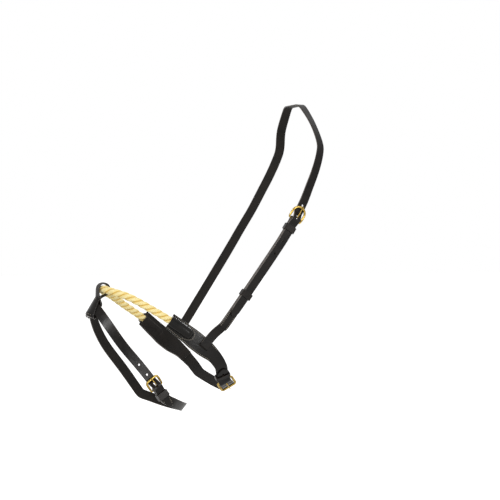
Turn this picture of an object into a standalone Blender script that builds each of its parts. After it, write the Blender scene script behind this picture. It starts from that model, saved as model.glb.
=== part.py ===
"""A rope-fronted noseband with a crown strap and a flash strap: black leather, brass buckles, twisted rope.

It is modelled as it is worn. The nose points to -X, the near (left) side is at -Y and up is +Z.
The origin is the middle of the crown strap's underside, where the noseband hangs from the poll.
Sizes are in millimetres and are turned to metres where a mesh gets its place.
"""

import math
from bisect import bisect_right

import bmesh
import bpy
from mathutils import Matrix, Vector
from mathutils.geometry import interpolate_bezier

MM = 0.001

# Clearances
GAP = 0.3  # between two layers that lie on each other
RUNNING = 0.35  # round a bar that turns in leather

# Leather thicknesses
CROWN_THICK = 2.4
CHEEK_THICK = 1.9
SIDE_THICK = 1.8
LINING_THICK = 1.6
FLASH_THICK = 2.0
LOOP_THICK = 2.2
KEEPER_THICK = 1.3
EDGE_ROUND = 0.5

# Strap widths
CROWN_WIDE = 13.8
CHEEK_WIDE = 14.4
JAW_WIDE = 19.0
FLASH_WIDE = 14.6

# Holes and buckles
HOLE_WIDE = 3.4
TONGUE_HOLE = (0.9, 8.6)  # ends of the hole that a tongue is through, counted from its bar
BILLET_LOW = 1.2  # height of a billet where it passes under an end bar
CORNER = 2.0  # radius of a frame's corners at its heel bar
BAND = 1.3  # how much thicker a frame's legs and end bar are than its heel bar
LEG_FULL = 5.0  # where a leg reaches that thickness

# Loop that holds the flash strap
LOOP_DOWN = (-0.572, 0.0, -0.82)
LOOP_OUT = (-0.82, 0.0, 0.572)
LOOP_EYE = 8.0  # inner radius over the rope
LOOP_BEND = 16.0  # radius to which its wide end is bent over the nose

# Rope
ROPE_RADIUS = 6.1
ROPE_AXIS = 5.5  # height of the rope's axis over the surface that the leather lies on

# Sleeve that is moulded over each end of the rope
SLEEVE_LONG = 41.0
SLEEVE_DOME = 12.0
DOME_TIP = 0.3  # share of its width that the dome still has at its tip
SIDE_HALF = 15.0  # half width of the side leather's blank
LINING_LONG = 98.0

# Where things sit along the noseband, counted from the sleeve's mouth
JUNCTION_AT = 63.0
CHIN_KEEPER_BEFORE = 13.0  # before the heel bar

# Where things sit along the head strap, counted from its route's start at the near slit
SLIT_AT = 5.0
CHEEK_STEP_AT = 47.5
CHEEK_TIP_AT = 69.0
CHEEK_RUNNER_AT = 107.0
CHEEK_KEEPER_BEFORE = 15.5  # before the heel bar
CHEEK_KEEPER_LONG = 9.5
BEND_INNER = 0.6  # inner radius of the bend into a slit

# Length of the flat on the crown's underside
POLL_FLAT = 34.0

# Colours and finishes: sRGB colour, metallic, roughness
FINISHES = {
    "black_leather": ((0.075, 0.068, 0.062), 0.0, 0.45),
    "lining_leather": ((0.09, 0.08, 0.072), 0.0, 0.6),
    "brass": ((0.84, 0.68, 0.36), 1.0, 0.25),
    "rope": ((0.95, 0.87, 0.63), 0.0, 0.85),
}

SPAN_POINTS = 28
RAMP_STEP = 1.0
HEADING_STEP = 0.5
MOST_TURN = math.radians(8)
MOST_STEP = 24.0


# Materials and collections


def linear(channel):
    return channel / 12.92 if channel <= 0.04045 else ((channel + 0.055) / 1.055) ** 2.4


def make_finish(name):
    colour, metallic, roughness = FINISHES[name]
    finish = bpy.data.materials.new(name)
    finish.use_nodes = True
    shader = finish.node_tree.nodes["Principled BSDF"]
    shader.inputs["Base Color"].default_value = (*map(linear, colour), 1.0)
    shader.inputs["Metallic"].default_value = metallic
    shader.inputs["Roughness"].default_value = roughness
    return finish


def add_part(name, data, finish):
    """Puts a mesh or a curve into the noseband's collection with its own material."""
    part = bpy.data.objects.new(name, data)
    material = finishes[finish].copy()
    material.name = f"{name}_{finish}"
    data.materials.clear()
    data.materials.append(material)
    noseband.objects.link(part)
    return part


# Lines that straps follow


class Track:
    """Points close together along a line, which gives its place and heading at any run along it."""

    def __init__(self, points, closed=False):
        self.points = points
        self.closed = closed
        self.runs = [0.0]
        for start, end in zip(points, points[1:]):
            self.runs.append(self.runs[-1] + (end - start).length)
        self.length = self.runs[-1]

    def stretch(self, run):
        if self.closed:
            run %= self.length
        index = min(max(bisect_right(self.runs, run) - 1, 0), len(self.points) - 2)
        return index, (run - self.runs[index]) / (self.runs[index + 1] - self.runs[index])

    def place(self, run):
        index, share = self.stretch(run)
        return self.points[index].lerp(self.points[index + 1], share)

    def heading(self, run):
        return (self.place(run + HEADING_STEP) - self.place(run - HEADING_STEP)).normalized()

    def nearest(self, place):
        """The run at which the line comes closest to a place."""
        index = min(range(len(self.points)), key=lambda i: (self.points[i] - place).length)
        return self.runs[index]

    def run_at(self, x, latest=False):
        """The run at which a side view passes X, the first or the latest time."""
        found = []
        for start, end, run in zip(self.points, self.points[1:], self.runs):
            if min(start.x, end.x) <= x < max(start.x, end.x):
                found.append(run + (end - start).length * (x - start.x) / (end.x - start.x))
        return found[-1 if latest else 0]


class Route(Track):
    """A smooth line through stops, each a place and the outward direction of the surface there."""

    sag = None  # how far the surface falls away, given a run and a distance across

    def __init__(self, stops, closed=False):
        count = len(stops)
        places = [Vector(place) for place, _ in stops]
        outwards = [Vector(outward).normalized() for _, outward in stops]
        slopes = [self.slope(places, i, closed) for i in range(count)]
        points = []
        self.outwards = []
        for i in range(count if closed else count - 1):
            j = (i + 1) % count
            third = (places[j] - places[i]).length / 3
            span = interpolate_bezier(
                places[i],
                places[i] + slopes[i] * third,
                places[j] - slopes[j] * third,
                places[j],
                SPAN_POINTS,
            )
            first = 1 if points else 0
            points += span[first:]
            shares = [k / (SPAN_POINTS - 1) for k in range(first, SPAN_POINTS)]
            self.outwards += [outwards[i].lerp(outwards[j], share) for share in shares]
        super().__init__(points, closed)

    @staticmethod
    def slope(places, i, closed):
        """The line's direction at a stop, leaning to the nearer neighbour's chord."""
        count = len(places)
        if not closed and i in (0, count - 1):
            other = 1 if i == 0 else count - 2
            chord = places[other] - places[i]
            return (chord if i == 0 else -chord).normalized()
        into = places[i] - places[i - 1]
        out = places[(i + 1) % count] - places[i]
        return (into.normalized() * out.length + out.normalized() * into.length).normalized()

    def frame(self, run):
        """Place, and unit vectors along the line, across it and outwards."""
        index, share = self.stretch(run)
        along = self.heading(run)
        outward = self.outwards[index].lerp(self.outwards[index + 1], share)
        outward = (outward - along * outward.dot(along)).normalized()
        return self.place(run), along, outward.cross(along), outward

    def point(self, run, across=0.0, height=0.0):
        place, _, sideways, outward = self.frame(run)
        return place + sideways * across + outward * height

    def matrix(self, run, facing=1, height=0.0):
        """A frame with X along the line (or back along it), Y across and Z outwards, in metres."""
        place, along, across, outward = self.frame(run)
        turn = Matrix((along * facing, across * facing, outward)).transposed().to_4x4()
        return Matrix.Translation((place + outward * height) * MM) @ turn


def level_ramps(stops):
    """Side view of a strap: straight between stops of one height, and an S-shaped ramp between others."""
    points = []
    for (start, low), (end, high) in zip(stops, stops[1:]):
        steps = 1 if low == high else max(4, round(abs(end - start) / RAMP_STEP))
        for step in range(steps):
            share = step / steps
            rise = share * share * (3 - 2 * share)
            points.append(Vector((start + (end - start) * share, low + (high - low) * rise)))
    return points + [Vector(stops[-1])]


def arc(centre, radius, start, end, steps):
    """Points on an arc in a plane, angles in degrees."""
    angles = [math.radians(start + (end - start) * k / steps) for k in range(steps + 1)]
    return [Vector((centre[0] + radius * math.cos(a), centre[1] + radius * math.sin(a))) for a in angles]


def lay_point(route, lay, run, across, height):
    """The place of a point of a flat strap once its side view is laid along a route."""
    on_lay = lay.place(run)
    heading = lay.heading(run)
    place, along, sideways, outward = route.frame(on_lay.x)
    up = outward * heading.x - along * heading.y
    fall = route.sag(on_lay.x, across) if route.sag else 0.0
    return place + outward * (on_lay.y - fall) + sideways * across + up * height


# Leather strips: a flat blank is cut, punched and then laid along its route


def bend_stations(route, lay, extra):
    """Runs at which a strip needs a row of points, so that no step turns it by more than a few degrees."""
    stations = []
    last = 0.0
    last_along = last_across = None
    run = 0.0
    while run < lay.length:
        middle = lay_point(route, lay, run, 0, 0)
        along = (lay_point(route, lay, run + HEADING_STEP, 0, 0) - middle).normalized()
        across = (lay_point(route, lay, run, 1, 0) - middle).normalized()
        if last_along is None:
            last_along, last_across = along, across
        turn = max(along.angle(last_along, 0), across.angle(last_across, 0))
        if turn > MOST_TURN or run - last > MOST_STEP:
            stations.append(run)
            last, last_along, last_across = run, along, across
        run += RAMP_STEP / 2
    wanted = sorted(stations + list(extra))
    kept = []
    for station in wanted:
        if 0.4 < station < lay.length - 0.4 and (not kept or station - kept[-1] > 0.35):
            kept.append(station)
    return kept


def cut_rows(mesh, normal, places, end):
    """Cuts a blank at planes, as far as an end in X."""
    for place in places:
        faces = [face for face in mesh.faces if face.calc_center_median().x < end]
        edges = {edge for face in faces for edge in face.edges}
        verts = {vert for face in faces for vert in face.verts}
        bmesh.ops.bisect_plane(mesh, geom=[*verts, *edges, *faces], plane_co=normal * place, plane_no=normal)


def flat_blank(length, width, thickness):
    """A box from X 0 to its length, with its long edges taken off."""
    mesh = box((length / 2, 0, thickness / 2), (length, width, thickness))
    long_edges = [e for e in mesh.edges if abs(e.verts[0].co.x - e.verts[1].co.x) > length / 2]
    bmesh.ops.bevel(mesh, geom=long_edges, offset=EDGE_ROUND, segments=1, affect="EDGES")
    return mesh


def box(centre, size):
    mesh = bmesh.new()
    bmesh.ops.create_cube(mesh, size=1.0)
    bmesh.ops.scale(mesh, vec=size, verts=mesh.verts)
    bmesh.ops.translate(mesh, vec=centre, verts=mesh.verts)
    return mesh


def slot_cutter(run, across, length, width, depth):
    """An upright slot with round ends, which is a round hole where its length is its width."""
    mesh = bmesh.new()
    bmesh.ops.create_cone(
        mesh, cap_ends=True, segments=10, radius1=width / 2, radius2=width / 2, depth=depth * 3
    )
    stretch = max(0.0, length - width) / 2
    for vert in mesh.verts:
        vert.co.x += stretch if vert.co.x > 0 else -stretch
        vert.co += Vector((run, across, depth / 2))
    return mesh


def round_hole(lay, along, depth, blank_scale=1.0):
    cutter = slot_cutter(lay.run_at(along, True), 0, HOLE_WIDE, HOLE_WIDE, depth)
    bmesh.ops.scale(cutter, vec=(1, blank_scale, 1), verts=cutter.verts)
    return cutter


def to_data(name, mesh):
    data = bpy.data.meshes.new(name)
    mesh.to_mesh(data)
    mesh.free()
    return data


def helper(name, mesh):
    made = bpy.data.objects.new(name, to_data(name, mesh))
    cutting.objects.link(made)
    return made


def cut_away(mesh, cutters):
    """Cuts every cutter out of a mesh and returns the result."""
    body = helper("blank", mesh)
    tools = [helper("punch", cutter) for cutter in cutters]
    for tool in tools:
        tool.hide_render = True
        tool.display_type = "WIRE"
        punch = body.modifiers.new("punch", "BOOLEAN")
        punch.operation = "DIFFERENCE"
        punch.solver = "EXACT"
        punch.object = tool
    bpy.context.view_layer.update()
    graph = bpy.context.evaluated_depsgraph_get()
    result = bmesh.new()
    result.from_mesh(body.evaluated_get(graph).to_mesh())
    for made in [body, *tools]:
        data = made.data
        bpy.data.objects.remove(made)
        bpy.data.meshes.remove(data)
    return result


def strip(
    name, finish, route, lay, width, thickness, *, shape=None, rows=(), columns=(), columns_end=0, cutters=()
):
    """One leather strip, cut flat and then laid along its route."""
    mesh = flat_blank(lay.length, width, thickness)
    if cutters:
        mesh = cut_away(mesh, cutters)
    cut_rows(mesh, Vector((1, 0, 0)), bend_stations(route, lay, rows), lay.length)
    cut_rows(mesh, Vector((0, 1, 0)), columns, columns_end)
    for vert in mesh.verts:
        run, across, height = vert.co
        if shape:
            across, height = shape(run, across, height)
        vert.co = lay_point(route, lay, run, across, height) * MM
    part = add_part(name, to_data(name, mesh), finish)
    part.data.shade_smooth()
    part.data.set_sharp_from_angle(angle=math.radians(35))
    return part


def pointed(tip_run, point_long, towards):
    """A shape that narrows a strip to a rounded point at one end of its run."""

    def shape(run, across, height):
        left = (tip_run - run) * towards / point_long
        if left >= 1:
            return across, height
        return across * max(0.22, math.sqrt(max(0.0, 1 - (1 - left) ** 2))), height

    return shape


def point_rows(tip_run, point_long, towards):
    return [tip_run - towards * point_long * share for share in (0.08, 0.25, 0.5, 0.75, 1.0)]


# Buckles


class Buckle:
    """A frame and a tongue on one bar, which lies in the fold of one strap. Another's billet goes through.

    Distances along it are counted from the bar's axis, positive towards the end bar.
    """

    def __init__(self, bar, tongue, half, reach, shoulder, arched, fold_thick, billet_thick, blank_scale=1.0):
        self.bar = bar  # radius of the heel bar
        self.band = bar * BAND  # radius of the legs and of the end bar
        self.tongue = tongue  # radius of the tongue's wire
        self.half = half  # from the middle to a leg's axis
        self.reach = reach  # from the heel bar's axis to the end bar's
        self.shoulder = shoulder  # where the legs start to turn in
        self.arched = arched
        self.fold_thick = fold_thick
        self.billet_thick = billet_thick
        self.slot_wide = (2 * tongue + 1.2) * blank_scale
        self.eye = bar + RUNNING
        self.bar_height = fold_thick + self.eye
        self.over = 2 * (fold_thick + self.eye) + 2 * GAP
        self.after = 2 * (fold_thick + GAP)
        self.end_height = BILLET_LOW + billet_thick + 1.1 + self.band

    def fold(self, bar_run, facing, top_stops, bottom_points):
        """Side view of the strap that holds the bar: its top ply, round the bar, and its bottom ply."""
        ramp = [(bar_run - facing * 9.0, self.fold_thick + GAP), (bar_run, self.bar_height + self.eye)]
        turn = arc((bar_run, self.bar_height), self.eye, 90, -90 if facing > 0 else 270, 12)
        points = level_ramps(top_stops + ramp)[:-1] + turn + bottom_points
        return Track(points if facing > 0 else points[::-1])

    def billet(self, bar_run, facing):
        """Heights of the billet, from beyond the heel bar to beyond the end bar."""
        steps = [
            (-10.5, self.after),
            (-0.8, self.over),
            (1.2, self.over),
            (self.shoulder + 1.5, BILLET_LOW),
            (self.reach + 3.5, BILLET_LOW),
        ]
        return [(bar_run + facing * forward, height) for forward, height in steps]

    def eye_slot(self, lay, bar_run, facing):
        """The slot in the fold, in which the tongue turns."""
        middle = lay.nearest(Vector((bar_run + facing * self.eye, self.bar_height)))
        return slot_cutter(middle, 0, 15.0, self.slot_wide, self.fold_thick)

    def tongue_hole(self, lay, bar_run, facing):
        """The billet's hole that the tongue is through, with room for the tongue to turn."""
        ends = [lay.run_at(bar_run + facing * forward, True) for forward in TONGUE_HOLE]
        middle = (ends[0] + ends[1]) / 2
        return slot_cutter(middle, 0, abs(ends[1] - ends[0]), self.slot_wide, self.billet_thick)

    def frame_points(self):
        """The frame's closed axis, seen from outside."""
        points = arc((CORNER, self.half - CORNER), CORNER, 180, 90, 3)
        points.append(Vector((LEG_FULL, self.half)))
        if self.arched:
            long = self.reach - self.shoulder
            for k in range(11):
                angle = math.pi * k / 10
                points.append(Vector((self.shoulder + long * math.sin(angle), self.half * math.cos(angle))))
        else:
            corner = self.reach - self.shoulder
            points += arc((self.shoulder, self.half - corner), corner, 90, 0, 4)
            points += arc((self.shoulder, corner - self.half), corner, 0, -90, 4)
        points.append(Vector((LEG_FULL, -self.half)))
        return points + arc((CORNER, CORNER - self.half), CORNER, 270, 180, 3)

    def rise(self, forward):
        return (self.end_height - self.bar_height) * forward / self.reach

    def tongue_points(self):
        """The tongue in side view: curled round the bar, up through the billet and down on the end bar."""
        curl = self.bar + GAP + self.tongue
        rest = self.rise(self.reach) + self.band + GAP + self.tongue
        top = self.over - self.bar_height + self.billet_thick
        shank = [
            (1.3, curl + 0.1),
            (3.0, curl + 0.95),
            (5.0, top - 1.3),
            (7.4, top - 0.45),
            (self.reach * 0.62, (top + rest) / 2),
            (self.reach * 0.86, rest + 0.15),
            (self.reach, rest),
            (self.reach + self.band + 0.5, rest - 0.1),
        ]
        return arc((0, 0), curl, 345, 98, 12) + [Vector(point) for point in shank]

    def make(self, name, route, bar_run, facing):
        place = route.matrix(bar_run, facing, self.bar_height)
        frame = [Vector((x, y, self.rise(x))) for x, y in self.frame_points()]
        thick = [BAND if point.x > LEG_FULL - 0.1 else 1.0 for point in frame]
        wire(f"{name}_buckle_frame", "brass", frame, self.bar, place, True, thick)
        tongue = [Vector((x, 0.0, z)) for x, z in self.tongue_points()]
        wire(f"{name}_buckle_tongue", "brass", tongue, self.tongue, place, False)


def wire(name, finish, points, radius, place, cyclic, thick=None):
    """A round wire along points given in its own frame, whose origin is on the bar's axis.

    Where it isn't the same all along, thick says how many times the radius it has at each point.
    """
    curve = bpy.data.curves.new(name, "CURVE")
    curve.dimensions = "3D"
    curve.bevel_depth = radius * MM
    curve.bevel_resolution = 2
    curve.use_fill_caps = True
    spline = curve.splines.new("POLY")
    spline.points.add(len(points) - 1)
    for k, point in enumerate(spline.points):
        point.co = (*(points[k] * MM), 1.0)
        point.radius = thick[k] if thick else 1.0
    spline.use_cyclic_u = cyclic
    part = add_part(name, curve, finish)
    part.matrix_world = place
    return part


def keeper(name, route, run, inner_wide, inner_high, long):
    """A leather loop round a strap and its billet, from just under the strap, on a straight stretch."""
    low = -GAP
    size = Vector((long, inner_wide + 2 * KEEPER_THICK, inner_high - low + 2 * KEEPER_THICK))
    outer = box((0, 0, 0), size)
    long_edges = [e for e in outer.edges if abs(e.verts[0].co.x - e.verts[1].co.x) > long / 2]
    bmesh.ops.bevel(outer, geom=long_edges, offset=1.1, segments=2, affect="EDGES")
    ring = cut_away(outer, [box((0, 0, 0), (long * 2, inner_wide, inner_high - low))])
    bmesh.ops.scale(ring, vec=(MM, MM, MM), verts=ring.verts)
    part = add_part(name, to_data(name, ring), "black_leather")
    part.matrix_world = route.matrix(run, 1, (low + inner_high) / 2)
    return part


# The routes, each stop being a place and the outward direction of the surface there


def straight_stops(foot, direction, distances, outward):
    line = Vector(direction).normalized()
    return [(Vector(foot) + line * distance, outward) for distance in distances]


CHIN_BAR = (-138.8, -37.3, -418.7)
CHIN_LINE = (0.596, 0.668, -0.448)
FLASH_BAR = (-252.0, -47.3, -427.4)
FLASH_LINE = (0.602, -0.05, -0.797)
CHEEK_FOOT = (-152.9, -74.0, -334.7)
CHEEK_LINE = (0.5766, -0.0812, 0.8130)
CHEEK_BAR = (-45.5, -86.8, -179.5)
CHEEK_BUCKLE_LINE = (0.5480, 0.0100, 0.8364)

NOSE_STOPS = [
    ((-314.0, 0.0, -286.3), (-0.76, 0.0, 0.65)),
    ((-307.7, -13.7, -289.2), (-0.67, -0.43, 0.61)),
    ((-288.6, -31.6, -296.4), (-0.42, -0.80, 0.42)),
    ((-263.2, -43.7, -310.9), (-0.20, -0.96, 0.20)),
    ((-232.5, -51.6, -329.5), (-0.12, -0.99, 0.10)),
    ((-204.4, -60.0, -350.6), (-0.08, -1.00, 0.04)),
    ((-183.8, -63.5, -368.3), (-0.04, -1.00, -0.02)),
    ((-165.5, -61.5, -383.0), (0.02, -0.99, -0.12)),
    ((-151.2, -54.8, -399.8), (0.10, -0.89, -0.44)),
    *straight_stops(CHIN_BAR, CHIN_LINE, (-7, 0, 24), (0.14, -0.70, -0.70)),
    ((-116.4, 0.0, -434.8), (0.50, 0.0, -0.86)),
]
MOUTH_STOP = 4

FLASH_STOPS = [
    ((-332.0, 0.0, -309.0), (-0.82, 0.0, 0.57)),
    ((-331.3, -7.0, -310.7), (-0.75, -0.40, 0.52)),
    ((-329.6, -13.3, -315.1), (-0.64, -0.64, 0.43)),
    ((-321.0, -27.0, -332.5), (-0.45, -0.85, 0.28)),
    ((-302.1, -39.8, -364.6), (-0.20, -0.97, 0.10)),
    *straight_stops(FLASH_BAR, FLASH_LINE, (-34, -18, 0, 12, 20), (0.01, -1.0, 0.04)),
    ((-226.0, -43.2, -449.5), (0.25, -0.90, -0.34)),
    ((-206.4, -28.0, -457.6), (0.55, -0.62, -0.52)),
    ((-190.5, 0.0, -462.0), (0.79, 0.0, -0.61)),
]

CROWN_STOPS = [
    ((0.0, 2 - POLL_FLAT / 2, 0.0), (0.0, 0.0, 1.0)),
    ((0.0, -POLL_FLAT / 2, 0.0), (0.0, 0.0, 1.0)),
    ((2.6, -39.5, -15.8), (0.25, -0.42, 0.87)),
    ((4.2, -56.0, -34.5), (0.40, -0.62, 0.67)),
    ((8.0, -71.0, -68.6), (0.36, -0.86, 0.36)),
    ((2.5, -76.0, -87.4), (0.30, -0.92, 0.26)),
    ((-8.2, -80.5, -112.2), (0.22, -0.97, 0.12)),
    ((-20.0, -83.5, -134.4), (0.10, -0.99, 0.04)),
    *straight_stops(CHEEK_BAR, CHEEK_BUCKLE_LINE, (27, 24, 0, -20), (0.0, -1.0, 0.02)),
]


def mirrored(vector):
    return Vector((vector[0], -vector[1], vector[2]))


def off_side(stops):
    return [(mirrored(place), mirrored(outward)) for place, outward in stops]


def ring_route(half):
    """A closed route from its near half, which starts and ends on the middle plane."""
    return Route(half + off_side(half[-2:0:-1]), closed=True)


def head_route(ring, mouth):
    """From the near slit up the cheek, over the crown and down to the off slit."""
    junction = mouth + JUNCTION_AT
    outward = ring.frame(junction)[3]
    near = [(ring.point(junction, across - 6.0), outward) for across in (0.0, 6.0, 15.0, 23.0)]
    near += straight_stops(CHEEK_FOOT, CHEEK_LINE, (0, 8, 144, 150), (0.0, -1.0, -0.08))
    near += CROWN_STOPS[::-1]
    return Route(near + off_side(near[::-1]))


# Side leathers

# From the sleeve's mouth: run, and how far the leather reaches above and below its middle line
SIDE_EDGES = (
    (0.0, 12.0, 12.2),
    (26.0, 12.0, 14.6),
    (48.0, 13.2, 15.6),
    (66.0, 13.4, 14.2),
    (88.0, 10.6, 10.6),
    (110.0, 9.6, 9.4),
    (124.0, JAW_WIDE / 2, JAW_WIDE / 2),
)
WALL_SHARE = 0.6  # share of the blank's half width that is moulded round the rope
FOOT_SHARE = 0.82  # share at which the flange starts
FLANGE_LEVEL = LINING_THICK + GAP
ON_COVER = FLANGE_LEVEL + SIDE_THICK + GAP


def between(table, run):
    """Reads a table of rows, each a run and its values, with smooth steps from row to row."""
    if run <= table[0][0]:
        return table[0][1:]
    for (start, *low), (end, *high) in zip(table, table[1:]):
        if run < end:
            share = (run - start) / (end - start)
            rise = share * share * (3 - 2 * share)
            return [a + (b - a) * rise for a, b in zip(low, high)]
    return table[-1][1:]


def bulge(run):
    """How far the sleeve is raised: 1 along the rope, and down to 0 over the rope's end."""
    past = (run - SLEEVE_LONG + SLEEVE_DOME) / SLEEVE_DOME
    return math.sqrt(max(0.0, 1 - max(0.0, past) ** 2))


def moulded(share, depth, raised, edge):
    """Across and height of the sleeve's section, at a share of its half width and of its thickness."""
    radius = ROPE_RADIUS + GAP + 0.1 + SIDE_THICK * depth
    last = math.radians(105 - 10 * depth)
    level = FLANGE_LEVEL + SIDE_THICK * depth
    angle = last * min(share / WALL_SHARE, 1.0)
    wall = Vector((radius * math.sin(angle), ROPE_AXIS + radius * math.cos(angle)))
    foot = Vector((radius * math.sin(last) + 1.1, level))
    if share > WALL_SHARE:
        wall = wall.lerp(foot, min((share - WALL_SHARE) / (FOOT_SHARE - WALL_SHARE), 1.0))
    place = Vector((wall.x * (DOME_TIP + (1 - DOME_TIP) * raised), level + (wall.y - level) * raised))
    if share > FOOT_SHARE:
        place = place.lerp(Vector((edge, level)), (share - FOOT_SHARE) / (1 - FOOT_SHARE))
    return place


def side_shape(side):
    """Shape of a side leather: its edges, and the sleeve moulded over the rope's end."""

    def shape(run, across, height):
        upper, lower = between(SIDE_EDGES, run)
        edge = upper if across * side > 0 else lower
        share = min(abs(across) / SIDE_HALF, 1.0)
        place = Vector((share * edge, FLANGE_LEVEL + height))
        if run < SLEEVE_LONG + 0.01:
            place = moulded(share, height / SIDE_THICK, bulge(run), edge)
        return math.copysign(place.x, across), place.y - FLANGE_LEVEL

    return shape


def lining_shape(side):
    """Shape of a lining: the side leather's edges a little drawn in, and a trough under the rope."""

    def shape(run, across, height):
        upper, lower = between(SIDE_EDGES, run)
        edge = (upper if across * side > 0 else lower) - 0.4
        place = across * edge / SIDE_HALF
        room = ROPE_RADIUS + GAP
        dip = 0.0
        if abs(place) < room:
            dip = min(0.0, ROPE_AXIS - math.sqrt(room**2 - place**2) - LINING_THICK)
        return place, height + dip * bulge(run)

    return shape


def both_sides(places):
    return [side * place for place in places for side in (1, -1) if place or side > 0]


SLEEVE_COLUMNS = both_sides(
    [SIDE_HALF * share for share in (0, 0.12, 0.24, 0.36, 0.48, WALL_SHARE, FOOT_SHARE)]
)
TROUGH_COLUMNS = both_sides([0.0, 2.6, 4.6, 6.2])
SLEEVE_ROWS = [SLEEVE_LONG - SLEEVE_DOME * (1 - share) for share in (0.0, 0.35, 0.6, 0.8, 0.93, 1.0)]
EDGE_ROWS = [row[0] for row in SIDE_EDGES[1:-1]] + [77.0, LINING_LONG + 0.5, LINING_LONG + 5]


def slit(side, thickness):
    """The slit that the head strap's end goes through."""
    size = (CHEEK_WIDE + 1.0, thickness + 2 * RUNNING + 0.5, 12.0)
    return box((JUNCTION_AT, side * (SLIT_AT - 6.0), 0), size)


def make_near_side_leather():
    stops = [(mouth, FLANGE_LEVEL), (mouth + LINING_LONG + 4, FLANGE_LEVEL)]
    lay = chin.fold(chin_bar, 1, stops, [Vector((chin_bar - 30, SIDE_THICK))])
    strip(
        "near_side_leather",
        "black_leather",
        ring,
        lay,
        2 * SIDE_HALF,
        SIDE_THICK,
        shape=side_shape(1),
        rows=SLEEVE_ROWS + EDGE_ROWS,
        columns=SLEEVE_COLUMNS,
        columns_end=SLEEVE_LONG + 1,
        cutters=[slit(1, CHEEK_THICK), chin.eye_slot(lay, chin_bar, 1)],
    )


def make_off_side_leather():
    bar_run = ring.length - chin_bar
    tip = bar_run + 27.0
    stops = [
        (mouth, FLANGE_LEVEL),
        (mouth + LINING_LONG + 5, FLANGE_LEVEL),
        (mouth + LINING_LONG + 19, GAP),
        (bar_run - chin.reach - 14, GAP),
        *chin.billet(bar_run, -1)[::-1],
        (tip, chin.after),
    ]
    lay = Track(level_ramps(stops))
    sides = side_shape(-1)
    point = pointed(lay.length, 11.0, 1)

    def shape(run, across, height):
        return point(run, *sides(run, across, height))

    holes = [chin.tongue_hole(lay, bar_run, -1)]
    holes += [round_hole(lay, bar_run + away, SIDE_THICK, SIDE_HALF * 2 / JAW_WIDE) for away in (-30.0, 18.0)]
    strip(
        "off_side_leather",
        "black_leather",
        off_ring,
        lay,
        2 * SIDE_HALF,
        SIDE_THICK,
        shape=shape,
        rows=SLEEVE_ROWS + EDGE_ROWS + point_rows(lay.length, 11.0, 1),
        columns=SLEEVE_COLUMNS,
        columns_end=SLEEVE_LONG + 1,
        cutters=[slit(-1, CROWN_THICK), *holes],
    )


def make_lining(name, route, side):
    lay = Track([Vector((mouth + 1, 0)), Vector((mouth + LINING_LONG, 0))])
    strip(
        name,
        "lining_leather",
        route,
        lay,
        2 * SIDE_HALF,
        LINING_THICK,
        shape=lining_shape(side),
        rows=SLEEVE_ROWS + EDGE_ROWS[:-2],
        columns=TROUGH_COLUMNS,
        columns_end=SLEEVE_LONG + 1,
    )


# Rope


def make_rope():
    end = mouth + SLEEVE_LONG - SLEEVE_DOME - 1.0
    count = 2 * round(end / 6.0)
    runs = [-end + 2 * end * k / count for k in range(count + 1)]
    points = [ring.point(run, 0, ROPE_AXIS) for run in runs]
    return wire("nose_rope", "rope", points, ROPE_RADIUS, Matrix.Identity(4), False)


# Head strap


def make_near_cheekpiece():
    outer = CHEEK_THICK + BEND_INNER
    top = ON_COVER + CHEEK_THICK
    turn = SLIT_AT + outer - CHEEK_THICK / 2
    bottom = [(cheek_bar - 20.0, CHEEK_THICK), (42.0, CHEEK_THICK), (22.0, top), (turn, top)]
    dive = level_ramps(bottom)[:-1] + arc((turn, top - outer), outer, 90, 175, 6)
    dive.append(Vector((turn - outer - 0.2, FLANGE_LEVEL + 0.1)))
    lay = cheek.fold(cheek_bar, 1, [(CHEEK_STEP_AT, CHEEK_THICK + GAP)], dive)
    strip(
        "near_cheekpiece",
        "black_leather",
        head,
        lay,
        CHEEK_WIDE,
        CHEEK_THICK,
        cutters=[cheek.eye_slot(lay, cheek_bar, 1)],
    )


def make_crown_strap():
    turn = SLIT_AT + BEND_INNER + CROWN_THICK / 2
    end = head.length - turn
    middle = head.length / 2
    stops = [
        (CHEEK_TIP_AT, cheek.after),
        *cheek.billet(cheek_bar, 1),
        (cheek_bar + cheek.reach + 20, 0.0),
        (head.length - 42.0, 0.0),
        (head.length - 22.0, ON_COVER),
        (end, ON_COVER),
    ]
    points = level_ramps(stops)[:-1]
    points += arc((end, ON_COVER - BEND_INNER), BEND_INNER, 90, 5, 4)
    points.append(Vector((end + BEND_INNER + 0.1, FLANGE_LEVEL + 0.1)))
    lay = Track(points)
    point = pointed(0.0, 12.0, -1)
    widths = ((lay.run_at(middle + 20), 1.0), (lay.run_at(middle + 90), CHEEK_WIDE / CROWN_WIDE))

    def shape(run, across, height):
        across, height = point(run, across, height)
        return across * between(widths, run)[0], height

    holes = [cheek.tongue_hole(lay, cheek_bar, 1)]
    holes += [round_hole(lay, cheek_bar + away, CROWN_THICK) for away in (-60, -38, -16, 26)]
    flat = [lay.run_at(middle + away) for away in (3 - POLL_FLAT / 2, 0.0, POLL_FLAT / 2 - 3)]
    strip(
        "crown_strap",
        "black_leather",
        head,
        lay,
        CROWN_WIDE,
        CROWN_THICK,
        shape=shape,
        rows=flat + point_rows(0.0, 12.0, -1) + [row[0] for row in widths],
        cutters=holes,
    )


# Flash strap and the loop that holds it


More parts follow.
